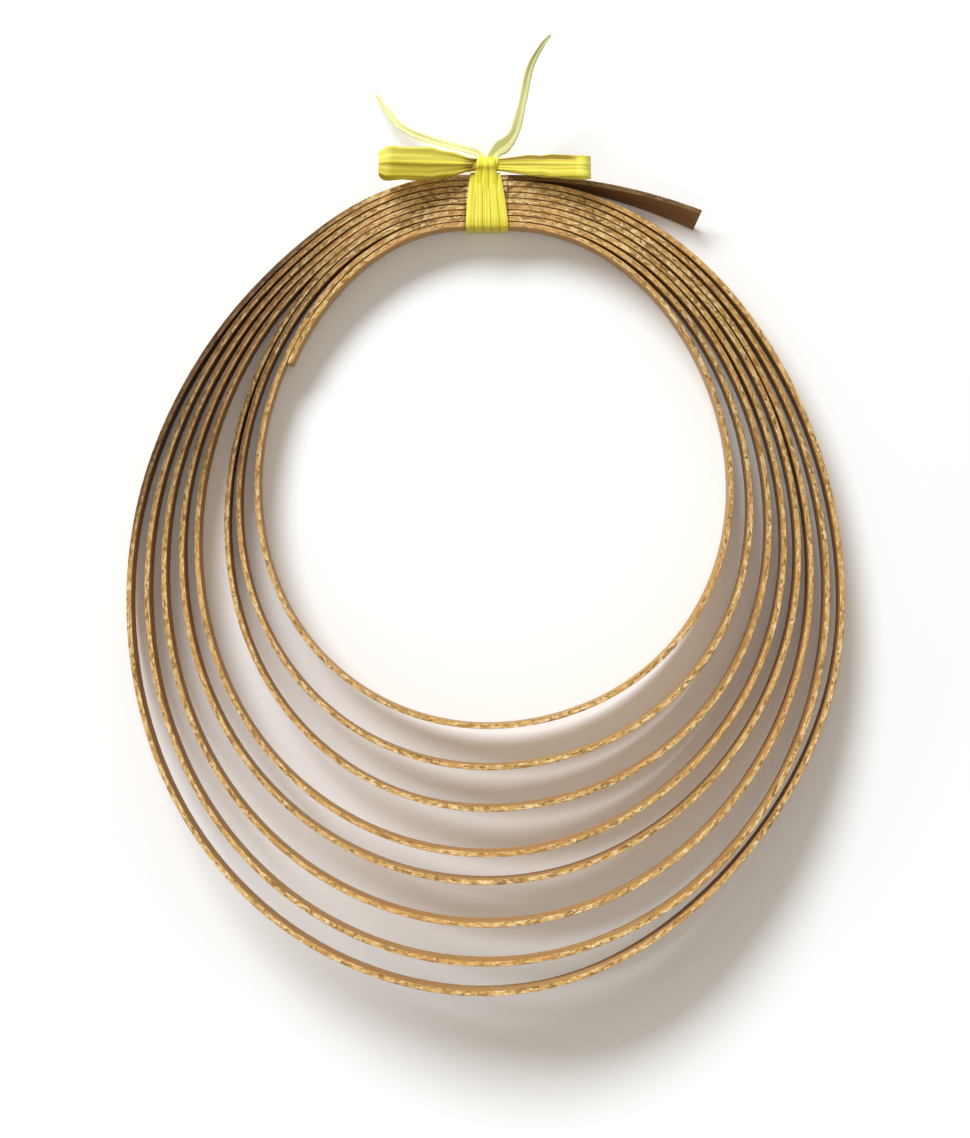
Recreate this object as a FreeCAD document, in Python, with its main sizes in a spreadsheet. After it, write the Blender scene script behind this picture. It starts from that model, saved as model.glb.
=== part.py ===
import FreeCAD, Part
import math
import os

# A wreath frame made of one long flat reed.  The reed stands on its edge and is coiled
# into eight nested turns.  All the turns are packed side by side at the top, where a
# raffia tie holds them, and they spread apart towards the bottom.
#
# Working frame: X to the right, Y up the ring, Z up off the table.  X = 0 is the middle
# of the tie and Y = 0 is the outer face of the outermost reed layer there.  At the end
# every piece is moved so that the origin is the middle of the whole part, on the table.

Vector = FreeCAD.Vector
ALONG_X = Vector(1, 0, 0)

TURNS = 8
LAYERS = TURNS + 1
STRANDS = 5
STEPS_PER_SIDE = 18

doc = FreeCAD.newDocument("WreathFrame")

# ---------------------------------------------------------------------------
# Driving dimensions, in millimetres and degrees
# ---------------------------------------------------------------------------

SIZES = {
    # The flat reed
    "reed_thickness": 2.2,
    "reed_width": 12.7,
    # The layers held side by side in the tie, and the play where a turn leaves it
    "layer_gap": 0.3,
    "end_play": 0.05,
    # The innermost turn, measured on its inner face from the tie.  The belly makes the
    # lower half wider than the upper half
    "ring_right": 102.6,
    "ring_left": 96.5,
    "ring_drop": 232.7,
    "ring_belly": 4.9,
    # The softening of the place where a turn starts to part from the next one
    "gap_easing_width": 0.8,
    # How the coil lies: its sides rest on the table, the tied end stands a little off it
    # and the lower part curls up
    "tie_lift": 2.0,
    "tie_lift_length": 70.0,
    "curl_start_distance": 127.0,
    "curl_radius": 860.0,
    # The inner end of the reed, inside the left of the ring
    "inner_end_sweep": 64.0,
    # The outer end of the reed, which leaves the coil at the upper right
    "free_end_length": 81.0,
    "free_end_fall": 17.0,
    "free_end_lean": 28.0,
    # The raffia tie
    "raffia_thickness": 0.8,
    "strand_width": 3.4,
    "strand_gap": 0.25,
    "strand_rounding": 0.7,
    "wrap_clearance": 0.15,
    # The knot on the outer side of the tie, and its height above the middle of the reed
    "knot_length": 9.0,
    "knot_depth": 6.6,
    "knot_height": 9.5,
    "knot_rounding": 2.2,
    "knot_raise": 4.5,
    # The two bow loops: they start beside the knot's upper part and rise outwards.  Each
    # has a length, a round far end and raffia that is wider there than at the knot.  The
    # overhang is how far the far end reaches over the reed from the neck's inner side
    "loop_clearance": 0.4,
    "loop_neck_radius": 1.4,
    "loop_neck_width": 4.6,
    "loop_neck_raise": 3.4,
    "loop_rise": 14.0,
    "left_loop_length": 42.0,
    "left_loop_radius": 5.0,
    "left_loop_width": 13.0,
    "left_loop_overhang": 5.5,
    "right_loop_length": 40.0,
    "right_loop_radius": 4.0,
    "right_loop_width": 9.2,
    "right_loop_overhang": 5.3,
    # The two loose tails of the bow
    "tail_width": 3.0,
    "tail_thickness": 0.6,
    "tail_clearance": 0.5,
}

# Clear space between a turn and the next one outside it, from the innermost pair to the
# outermost, where the turns face each way
GAPS = {
    "right": [5.8, 5.4, 4.0, 3.7, 2.9, 4.5, 4.0],
    "lower_right": [12.7, 11.6, 9.3, 7.4, 10.8, 11.0, 3.0],
    "lower": [15.0, 15.1, 16.4, 9.2, 15.0, 13.4, 9.6],
    "left": [5.5, 2.5, 10.2, 4.2, 5.1, 4.8, 5.3],
    "upper_left": [1.5, 0.4, 0.5, 0.6, 0.8, 1.0, 0.7],
}
for place, gaps in GAPS.items():
    for number, gap in enumerate(gaps, 1):
        SIZES["%s_gap_%d" % (place, number)] = gap

sizes = doc.addObject("Spreadsheet::Sheet", "Sizes")
for row, (name, value) in enumerate(SIZES.items(), 1):
    sizes.set("A%d" % row, name)
    sizes.set("B%d" % row, str(value))
    sizes.setAlias("B%d" % row, name)

doc.recompute()


def size(name):
    """The value of one driving dimension."""
    return float(sizes.get(name))


reed_thickness = size("reed_thickness")
reed_width = size("reed_width")
layer_pitch = reed_thickness + size("layer_gap")
bundle_depth = LAYERS * layer_pitch - size("layer_gap")
tie_width = STRANDS * size("strand_width") + (STRANDS - 1) * size("strand_gap")
tie_edge = tie_width / 2
turn_edge = tie_edge + size("end_play")
tie_lift = size("tie_lift")

TIE_WIDTH = "(%d * Sizes.strand_width + %d * Sizes.strand_gap)" % (STRANDS, STRANDS - 1)
BUNDLE_DEPTH = "(%d * Sizes.reed_thickness + %d * Sizes.layer_gap)" % (LAYERS, LAYERS - 1)

subparts = []


def finish(piece, label, position=None):
    """Name a piece, put it in place and keep it for writing."""
    piece.Label = label
    if position is not None:
        piece.Placement = FreeCAD.Placement(position, piece.Placement.Rotation)
    subparts.append(piece)
    return piece


# ---------------------------------------------------------------------------
# The coil's lie: height of the reed's lower edge above the table
# ---------------------------------------------------------------------------


def table_height(y):
    """Zero along the sides, raised at the tie and curling up at the bottom."""
    into_curl = -size("curl_start_distance") - y
    if into_curl > 0:
        return into_curl ** 2 / (2 * size("curl_radius"))
    lift_top = -bundle_depth - layer_pitch
    lift_foot = lift_top - size("tie_lift_length")
    climb = (y - lift_foot) / (lift_top - lift_foot)
    climb = min(max(climb, 0.0), 1.0)
    return tie_lift * climb ** 2 * (3 - 2 * climb)


# ---------------------------------------------------------------------------
# Outlines of the turns, seen from above
# ---------------------------------------------------------------------------


class Station:
    """One place on a turn's outline: its angle from the tie, its side and its point."""

    def __init__(self, angle, side, x, y):
        self.angle = angle
        self.side = side
        self.x = x
        self.y = y


def layer_inner_face(layer):
    """Y of the inner face of a bound layer, counted from the outermost."""
    return -layer * layer_pitch + size("layer_gap")


def innermost_outline():
    """Inner face of the innermost turn: right of the tie, round the bottom, up the left."""
    bottom = -size("ring_drop")
    stations = []
    for side, reach, layer in ((1, size("ring_right"), LAYERS), (-1, size("ring_left"), TURNS)):
        top = layer_inner_face(layer)
        half = []
        for step in range(STEPS_PER_SIDE + 1):
            angle = math.pi * step / STEPS_PER_SIDE
            x = turn_edge * (1 + math.cos(angle)) / 2
            x += (reach - turn_edge / 2) * math.sin(angle)
            x -= size("ring_belly") * math.sin(2 * angle)
            y = top - (top - bottom) * (1 - math.cos(angle)) / 2
            half.append(Station(angle, side, side * x, y))
        # The two halves share their lowest station
        stations += half if side > 0 else half[-2::-1]
    return stations


def smooth_line(points, end_directions=None):
    """A smooth curve through the points, leaving and arriving in the given directions."""
    curve = Part.BSplineCurve()
    if end_directions is None:
        curve.interpolate(Points=points)
    else:
        first, last = end_directions
        curve.interpolate(Points=points, InitialTangent=first, FinalTangent=last, Scale=False)
    return curve


def outward_normals(stations):
    """Unit normals of the smooth outline through the stations, seen from above."""
    points = [Vector(s.x, s.y, 0) for s in stations]
    outline = smooth_line(points, (ALONG_X, ALONG_X))
    normals = []
    for point in points:
        along = outline.tangent(outline.parameter(point))[0]
        normals.append((-along.y, along.x))
    return normals


def offset_outline(stations, distances):
    """Move every station outwards by its own distance."""
    moved = []
    for station, normal, distance in zip(stations, outward_normals(stations), distances):
        x = station.x + normal[0] * distance
        y = station.y + normal[1] * distance
        moved.append(Station(station.angle, station.side, x, y))
    return moved


def gap_facing(normal, number):
    """Clear space outside a turn where it faces a direction: packed at the tie.

    Two ovals that touch at the top part evenly when one is larger at the side and at the
    bottom.  At the lower right and the upper left the clear space has a size of its own.
    Where the turns would cross they stay packed.
    """
    across, upward = normal
    packed = size("layer_gap")

    def opening(place):
        return size("%s_gap_%d" % (place, number)) - packed

    def oval_opening(facing_up):
        beside = opening("right" if across > 0 else "left") * (1 - facing_up ** 2)
        return beside + opening("lower") * (facing_up ** 2 - facing_up) / 2

    opened = oval_opening(upward)
    if across * upward < 0:
        corner = opening("lower_right" if across > 0 else "upper_left")
        slanting = math.copysign(math.sqrt(0.5), upward)
        opened += (corner - oval_opening(slanting)) * (2 * across * upward) ** 2
    easing = size("gap_easing_width") * across ** 2
    return packed + (opened + math.hypot(opened, easing)) / 2


def turn_outlines():
    """Inner and outer outlines of every turn, from the innermost outwards."""
    inner = innermost_outline()
    outlines = []
    for number in range(TURNS):
        outer = offset_outline(inner, [reed_thickness] * len(inner))
        outlines.append((inner, outer))
        if number + 1 == TURNS:
            break
        gaps = [gap_facing(normal, number + 1) for normal in outward_normals(outer)]
        inner = offset_outline(outer, gaps)
    return outlines


def resting_points(stations):
    """The outline's points at the height where the reed's lower edge lies."""
    return [Vector(s.x, s.y, table_height(s.y)) for s in stations]


def make_strip(label, first_line, second_line, height_cell):
    """A strip between two smooth side lines, raised to its full height."""
    sides = []
    for side_name, curve in (("first", first_line), ("second", second_line)):
        side = doc.addObject("Part::Feature", "%s_%s_side" % (label, side_name))
        side.Shape = curve.toShape()
        sides.append(side)
    underside = doc.addObject("Part::RuledSurface", label + "_underside")
    underside.Curve1 = (sides[0], ["Edge1"])
    underside.Curve2 = (sides[1], ["Edge1"])
    strip = doc.addObject("Part::Extrusion", label + "_strip")
    strip.Base = underside
    strip.DirMode = "Custom"
    strip.Dir = Vector(0, 0, 1)
    strip.Solid = True
    strip.setExpression("LengthFwd", height_cell)
    return finish(strip, label)


# ---------------------------------------------------------------------------
# The reed: turns, bound layers and two ends
# ---------------------------------------------------------------------------

outlines = turn_outlines()

for number, (inner_face, outer_face) in enumerate(outlines):
    make_strip(
        "turn_%d" % (TURNS - number),
        smooth_line(resting_points(inner_face), (ALONG_X, ALONG_X)),
        smooth_line(resting_points(outer_face), (ALONG_X, ALONG_X)),
        "Sizes.reed_width",
    )

for layer in range(1, LAYERS + 1):
    bound = doc.addObject("Part::Box", "bound_layer_%d_block" % layer)
    bound.setExpression("Length", TIE_WIDTH)
    bound.setExpression("Width", "Sizes.reed_thickness")
    bound.setExpression("Height", "Sizes.reed_width")
    finish(bound, "bound_layer_%d" % layer, Vector(-tie_edge, layer_inner_face(layer), tie_lift))


def make_inner_end():
    """The reed's inner end, which follows the inside of the innermost turn's left side."""
    beside_turn = outlines[0][0]
    layer_gap = size("layer_gap")
    outer_face = offset_outline(beside_turn, [-layer_gap] * len(beside_turn))
    inner_face = offset_outline(outer_face, [-reed_thickness] * len(outer_face))
    sweep = math.radians(size("inner_end_sweep"))
    lines = []
    for face in (inner_face, outer_face):
        whole = smooth_line(resting_points(face), (ALONG_X, ALONG_X))
        left_half = [s for s in face if s.side < 0]
        # The cut is made where the sweep ends, between two stations
        station_step = math.pi / STEPS_PER_SIDE
        behind = int(sweep / station_step)
        share = sweep / station_step - behind
        near = left_half[-1 - behind]
        far = left_half[-2 - behind]
        near_at = whole.parameter(Vector(near.x, near.y, table_height(near.y)))
        far_at = whole.parameter(Vector(far.x, far.y, table_height(far.y)))
        whole.segment(near_at + (far_at - near_at) * share, whole.LastParameter)
        lines.append(whole)
    make_strip("inner_end", lines[0], lines[1], "Sizes.reed_width")


make_inner_end()


def make_free_end():
    """The reed's outer end: it leaves the coil and leans outwards towards its cut tip."""
    sections = []
    count = 7
    length = size("free_end_length")
    for index in range(count):
        share = index / (count - 1)
        x = turn_edge + length * share
        y = -reed_thickness / 2 - size("free_end_fall") * share ** 2
        slope = math.atan2(-2 * size("free_end_fall") * share, length)
        lean = math.radians(size("free_end_lean")) * share ** 1.5
        across = Vector(-math.sin(slope), math.cos(slope), 0)
        up = Vector(0, 0, 1)
        width_way = up * math.cos(lean) + across * math.sin(lean)
        thick_way = across * math.cos(lean) - up * math.sin(lean)
        foot = Vector(x, y, tie_lift * (1 - share) ** 2)
        centre = foot + up * (reed_width / 2)
        corners = []
        for across_sign, up_sign in ((-1, -1), (1, -1), (1, 1), (-1, 1)):
            corner = centre + thick_way * (across_sign * reed_thickness / 2)
            corner = corner + width_way * (up_sign * reed_width / 2)
            corners.append(corner)
        section = doc.addObject("Part::Feature", "free_end_section_%d" % index)
        section.Shape = Part.makePolygon(corners + corners[:1])
        sections.append(section)
    loft = doc.addObject("Part::Loft", "free_end_loft")
    loft.Sections = sections
    loft.Solid = True
    loft.Ruled = False
    finish(loft, "free_end")


make_free_end()

# ---------------------------------------------------------------------------
# The raffia tie: strands round the bundle, knot, bow loops and tails
# ---------------------------------------------------------------------------

clearance = size("wrap_clearance")
raffia = size("raffia_thickness")
CAVITY_DEPTH = "(%s + 2 * Sizes.wrap_clearance)" % BUNDLE_DEPTH
CAVITY_HEIGHT = "(Sizes.reed_width + 2 * Sizes.wrap_clearance)"

for number in range(STRANDS):
    left_x = -tie_edge + number * (size("strand_width") + size("strand_gap"))
    outside = doc.addObject("Part::Box", "strand_%d_outside" % (number + 1))
    outside.setExpression("Length", "Sizes.strand_width")
    outside.setExpression("Width", CAVITY_DEPTH + " + 2 * Sizes.raffia_thickness")
    outside.setExpression("Height", CAVITY_HEIGHT + " + 2 * Sizes.raffia_thickness")
    outside.Placement.Base = Vector(
        left_x,
        -bundle_depth - clearance - raffia,
        tie_lift - clearance - raffia,
    )
    cavity = doc.addObject("Part::Box", "strand_%d_cavity" % (number + 1))
    cavity.setExpression("Length", "3 * Sizes.strand_width")
    cavity.setExpression("Width", CAVITY_DEPTH)
    cavity.setExpression("Height", CAVITY_HEIGHT)
    cavity.Placement.Base = Vector(
        left_x - size("strand_width"),
        -bundle_depth - clearance,
        tie_lift - clearance,
    )
    band = doc.addObject("Part::Cut", "strand_%d_band" % (number + 1))
    band.Base = outside
    band.Tool = cavity
    doc.recompute()
    low = Vector(left_x, -bundle_depth - clearance - raffia, tie_lift - clearance - raffia)
    high = Vector(0, clearance + raffia, tie_lift + reed_width + clearance + raffia)
    corner_edges = []
    for index, edge in enumerate(band.Shape.Edges):
        middle = edge.CenterOfMass
        on_side = min(abs(middle.y - low.y), abs(middle.y - high.y)) < 1e-6
        on_top = min(abs(middle.z - low.z), abs(middle.z - high.z)) < 1e-6
        if on_side and on_top:
            corner_edges.append((index + 1, size("strand_rounding"), size("strand_rounding")))
    rounded = doc.addObject("Part::Fillet", "strand_%d_rounded" % (number + 1))
    rounded.Base = band
    rounded.Edges = corner_edges
    finish(rounded, "wrap_strand_%d" % (number + 1))

knot_face = clearance + raffia
knot_middle_z = tie_lift + reed_width / 2 + size("knot_raise")
knot_block = doc.addObject("Part::Box", "knot_block")
knot_block.setExpression("Length", "Sizes.knot_length")
knot_block.setExpression("Width", "Sizes.knot_depth")
knot_block.setExpression("Height", "Sizes.knot_height")
knot_block.Placement.Base = Vector(
    -size("knot_length") / 2,
    knot_face,
    knot_middle_z - size("knot_height") / 2,
)
doc.recompute()
knot = doc.addObject("Part::Fillet", "knot_rounded")
knot.Base = knot_block
knot.Edges = [
    (index + 1, size("knot_rounding"), size("knot_rounding"))
    for index, edge in enumerate(knot_block.Shape.Edges)
    if edge.CenterOfMass.y > knot_face + 1e-6
]
finish(knot, "knot")


def belt_wire(span, neck_radius, far_radius):
    """A closed line round two circles: the neck's at the origin, the other along X."""
    touch = math.pi / 2 + math.asin((far_radius - neck_radius) / span)

    def on_circle(centre_x, radius, angle):
        return Vector(centre_x + radius * math.cos(angle), 0, radius * math.sin(angle))

    neck_top = on_circle(0, neck_radius, touch)
    neck_low = on_circle(0, neck_radius, -touch)
    far_top = on_circle(span, far_radius, touch)
    far_low = on_circle(span, far_radius, -touch)
    return Part.Wire([
        Part.LineSegment(neck_top, far_top).toShape(),
        Part.Arc(far_top, on_circle(span, far_radius, 0), far_low).toShape(),
        Part.LineSegment(far_low, neck_low).toShape(),
        Part.Arc(neck_low, on_circle(0, neck_radius, math.pi), neck_top).toShape(),
    ])


def make_loop(side_name, toward):
    """One bow loop: a raffia band bent round, narrow at the knot and wider outside."""
    label = side_name + "_bow_loop"
    length = size(side_name + "_loop_length")
    far_radius = size(side_name + "_loop_radius")
    width_cell = "Sizes.%s_loop_width" % side_name
    overhang_cell = "Sizes.%s_loop_overhang" % side_name
    neck_radius = size("loop_neck_radius")
    span = length - neck_radius - far_radius
    profile = doc.addObject("Part::Feature", label + "_profile")
    profile.Shape = Part.makeFace(
        [
            belt_wire(span, neck_radius, far_radius),
            belt_wire(span, neck_radius - raffia, far_radius - raffia),
        ],
        "Part::FaceMakerBullseye",
    )
    band = doc.addObject("Part::Extrusion", label + "_band")
    band.Base = profile
    band.DirMode = "Custom"
    band.Dir = Vector(0, 1, 0)
    band.Solid = True
    band.setExpression("LengthFwd", width_cell)
    # A wedge along X, as wide as the raffia at the neck and at the far end
    taper = doc.addObject("Part::Wedge", label + "_taper")
    taper.Ymin = -neck_radius
    taper.Ymax = length - neck_radius
    taper.setExpression("Xmin", overhang_cell)
    taper.setExpression("Xmax", overhang_cell + " + Sizes.loop_neck_width")
    taper.X2min = 0
    taper.setExpression("X2max", width_cell)
    taper.Zmin = -far_radius
    taper.Zmax = far_radius
    taper.Z2min = -far_radius
    taper.Z2max = far_radius
    taper.Placement.Rotation = FreeCAD.Rotation(
        Vector(0, 1, 0), Vector(1, 0, 0), Vector(0, 0, -1), "XYZ"
    )
    loop = doc.addObject("Part::Common", label + "_tapered")
    loop.Base = band
    loop.Tool = taper
    neck_x = size("knot_length") / 2 + size("loop_clearance") + neck_radius
    neck_y = knot_face + (size("knot_depth") - size("loop_neck_width")) / 2
    neck = Vector(
        toward * neck_x,
        neck_y - size(side_name + "_loop_overhang"),
        knot_middle_z + size("loop_neck_raise"),
    )
    rise = FreeCAD.Rotation(Vector(0, 1, 0), -size("loop_rise"))
    if toward < 0:
        # The left loop is drawn the same way and mirrored across the knot
        mirrored = doc.addObject("Part::Mirroring", label + "_mirrored")
        mirrored.Source = loop
        mirrored.Normal = Vector(1, 0, 0)
        rise = rise.inverted()
        loop = mirrored
    loop.Placement = FreeCAD.Placement(neck, rise)
    return finish(loop, label)


make_loop("left", -1)
make_loop("right", 1)

# The tails' routes, measured from the middle of the knot's outer face
LEFT_TAIL_ROUTE = [
    (-2.4, 0.0, 1.0),
    (-4.4, 3.0, 1.1),
    (-9.5, 4.3, 0.9),
    (-23.5, 6.6, -1.6),
    (-35.0, 12.4, -4.8),
    (-42.6, 20.2, -7.4),
    (-47.5, 28.0, -8.6),
]
RIGHT_TAIL_ROUTE = [
    (2.2, 0.0, 1.0),
    (3.8, 3.2, 1.5),
    (8.2, 5.4, 2.8),
    (12.4, 10.4, 5.2),
    (15.2, 22.0, 10.6),
    (18.0, 34.0, 17.0),
    (22.6, 42.0, 21.6),
    (26.4, 46.0, 24.2),
]


def make_tail(label, route):
    """One loose tail: a flat raffia ribbon, face up, along its route."""
    start = Vector(0, knot_face + size("knot_depth") + size("tail_clearance"), knot_middle_z)
    middle_line = smooth_line([start + Vector(*point) for point in route])
    half_width = size("tail_width") / 2
    low_side = []
    high_side = []
    places = 2 * len(route)
    first = middle_line.FirstParameter
    last = middle_line.LastParameter
    for index in range(places + 1):
        at = first + (last - first) * index / places
        place = middle_line.value(at)
        along = middle_line.tangent(at)[0]
        across = Vector(-along.y, along.x, 0).normalize()
        low_side.append(place - across * half_width)
        high_side.append(place + across * half_width)
    return make_strip(
        label, smooth_line(low_side), smooth_line(high_side), "Sizes.tail_thickness"
    )


make_tail("left_tail", LEFT_TAIL_ROUTE)
make_tail("right_tail", RIGHT_TAIL_ROUTE)

# ---------------------------------------------------------------------------
# Put the origin in the middle of the part, on the table, then check and write
# ---------------------------------------------------------------------------

doc.recompute()


def check_everything():
    """Stop if any object failed or any piece has no valid solid."""
    for item in doc.Objects:
        if "Invalid" in item.State or "Error" in item.State:
            raise RuntimeError("%s failed: %s" % (item.Name, item.State))
    for piece in subparts:
        if piece.Shape.isNull() or not piece.Shape.isValid() or piece.Shape.Volume <= 0:
            raise RuntimeError("%s has no valid solid" % piece.Label)


check_everything()

whole = FreeCAD.BoundBox()
for piece in subparts:
    whole.add(piece.Shape.optimalBoundingBox())
to_origin = Vector(
    -(whole.XMin + whole.XMax) / 2, -(whole.YMin + whole.YMax) / 2, -whole.ZMin
)
for piece in subparts:
    piece.Placement = FreeCAD.Placement(to_origin, FreeCAD.Rotation()) * piece.Placement
doc.recompute()
check_everything()

os.makedirs("parts", exist_ok=True)
for piece in subparts:
    piece.Shape.exportStep("parts/%s.step" % piece.Label)

print("origin moved by", to_origin.x, to_origin.y, to_origin.z)
print("size", whole.XLength, whole.YLength, whole.ZMin, whole.ZMax)
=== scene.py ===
import math

import bmesh
import bpy
import numpy as np
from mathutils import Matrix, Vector


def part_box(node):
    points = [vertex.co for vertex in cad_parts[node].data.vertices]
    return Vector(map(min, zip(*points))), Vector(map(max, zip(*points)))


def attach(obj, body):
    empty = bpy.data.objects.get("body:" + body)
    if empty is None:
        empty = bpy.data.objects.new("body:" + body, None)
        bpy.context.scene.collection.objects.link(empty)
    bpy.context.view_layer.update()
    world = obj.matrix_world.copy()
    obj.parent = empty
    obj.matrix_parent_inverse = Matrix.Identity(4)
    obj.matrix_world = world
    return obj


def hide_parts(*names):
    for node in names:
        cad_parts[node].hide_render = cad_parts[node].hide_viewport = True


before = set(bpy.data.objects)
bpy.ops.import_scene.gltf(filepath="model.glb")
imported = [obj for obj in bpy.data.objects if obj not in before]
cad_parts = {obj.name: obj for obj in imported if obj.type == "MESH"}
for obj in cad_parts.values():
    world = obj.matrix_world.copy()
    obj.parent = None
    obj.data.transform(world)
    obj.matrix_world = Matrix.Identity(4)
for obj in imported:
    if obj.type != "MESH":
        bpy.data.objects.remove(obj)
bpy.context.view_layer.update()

# A coil of flat reed tied with a raffia bow, lying on a white table.  Lengths are in
# metres; MM turns millimetres into metres.
MM = 0.001
TURNS = 8
STRANDS = 5
# How finely a smooth line is worked out between two of its points
PATH_STEPS = 24

# ---------------------------------------------------------------------------
# Helpers
# ---------------------------------------------------------------------------


def smooth_noise(rng, rows, columns, row_step, column_step):
    """Smooth noise about zero, with features row_step rows and column_step columns long."""
    row_at = np.arange(rows) / row_step
    column_at = np.arange(columns) / column_step
    grid = rng.standard_normal((int(row_at[-1]) + 2, int(column_at[-1]) + 2))
    row, column = row_at.astype(int), column_at.astype(int)
    row_share = row_at - row
    column_share = column_at - column
    row_share = (row_share**2 * (3 - 2 * row_share))[:, None]
    column_share = (column_share**2 * (3 - 2 * column_share))[None, :]
    near, far = [grid[row + step][:, column] * (1 - column_share)
                 + grid[row + step][:, column + 1] * column_share for step in (0, 1)]
    return near * (1 - row_share) + far * row_share


def rising(value, start, end):
    """0 up to start, 1 from end on and a straight rise between them."""
    return np.clip((value - start) / (end - start), 0, 1)


def falling(value, start, end):
    """1 up to start, 0 from end on and a straight fall between them."""
    return 1 - rising(value, start, end)


def lengths_along(line):
    """Distance of each point from the first one, along the line."""
    steps = np.linalg.norm(np.diff(line, axis=0), axis=1)
    return np.concatenate([[0.0], np.cumsum(steps)])


def resampled(line, count):
    """The same line with evenly spaced points."""
    along = lengths_along(line)
    wanted = np.linspace(0, along[-1], count)
    return np.stack([np.interp(wanted, along, line[:, axis]) for axis in range(3)], axis=1)


def unit(vectors):
    """Vectors of length one."""
    return vectors / np.linalg.norm(vectors, axis=-1, keepdims=True)


def smooth_path(points, count):
    """A smooth line through a few points (a Catmull-Rom curve), evenly sampled."""
    points = np.array(points, float)
    padded = np.vstack([2 * points[0] - points[1], points, 2 * points[-1] - points[-2]])
    line = []
    for index in range(1, len(padded) - 2):
        a, b, c, d = padded[index - 1:index + 3]
        for share in np.linspace(0, 1, PATH_STEPS, endpoint=False):
            line.append(0.5 * (2 * b + (c - a) * share + (2 * a - 5 * b + 4 * c - d) * share**2
                               + (3 * b - a - 3 * c + d) * share**3))
    line.append(points[-1])
    return resampled(np.array(line), count)


def grid_faces(stations, points, along, around, closed_along):
    """The faces between closed rings of points, and each corner's place in the UV map."""
    faces = []
    texture = []
    step = along[1] - along[0]
    for station in range(stations if closed_along else stations - 1):
        following = (station + 1) % stations
        start, end = along[station], along[station] + step
        for point in range(points):
            beside = (point + 1) % points
            faces.append((station * points + point, following * points + point,
                          following * points + beside, station * points + beside))
            texture.append(((start, around[point]), (end, around[point]),
                            (end, around[point + 1]), (start, around[point + 1])))
    if not closed_along:
        for station, order in ((0, range(points)), (stations - 1, reversed(range(points)))):
            faces.append([station * points + point for point in order])
            texture.append([(along[station], around[corner % points]) for corner in faces[-1]])
    return faces, texture


def grid_mesh(name, rings, along, around, attributes, closed_along=False):
    """A mesh skinned over closed rings of points.

    rings is (stations, points, 3).  along holds each station's place along the piece and
    around each point's place round its ring, for the UV map.  attributes holds one value
    per ring point for each named mask.
    """
    stations, points = rings.shape[:2]
    faces, texture = grid_faces(stations, points, along, around, closed_along)
    mesh = bpy.data.meshes.new(name)
    mesh.from_pydata(rings.reshape(-1, 3).tolist(), [], faces)
    layer = mesh.uv_layers.new(name="UVMap")
    flat = [value for corners in texture for pair in corners for value in pair]
    layer.data.foreach_set("uv", flat)
    for mask, values in attributes.items():
        attribute = mesh.attributes.new(mask, "FLOAT", "POINT")
        attribute.data.foreach_set("value", np.broadcast_to(values, (stations, points)).ravel())
    # The end faces are flat, the rest is smooth
    ends = 0 if closed_along else 2
    mesh.polygons.foreach_set("use_smooth", [True] * (len(faces) - ends) + [False] * ends)
    mesh.validate()
    face_outward(mesh)
    piece = bpy.data.objects.new(name, mesh)
    bpy.context.scene.collection.objects.link(piece)
    return piece


def face_outward(mesh):
    """Turn a closed mesh's faces over where they look inward."""
    solid = bmesh.new()
    solid.from_mesh(mesh)
    inward = solid.calc_volume(signed=True) < 0
    solid.free()
    if inward:
        mesh.flip_normals()


def dress(piece, material, body, slot, *nodes):
    """Give a piece its material and its place in the frame."""
    piece.data.materials.append(material)
    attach(piece, body)
    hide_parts(*nodes)


# ---------------------------------------------------------------------------
# Materials
# ---------------------------------------------------------------------------


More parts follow.
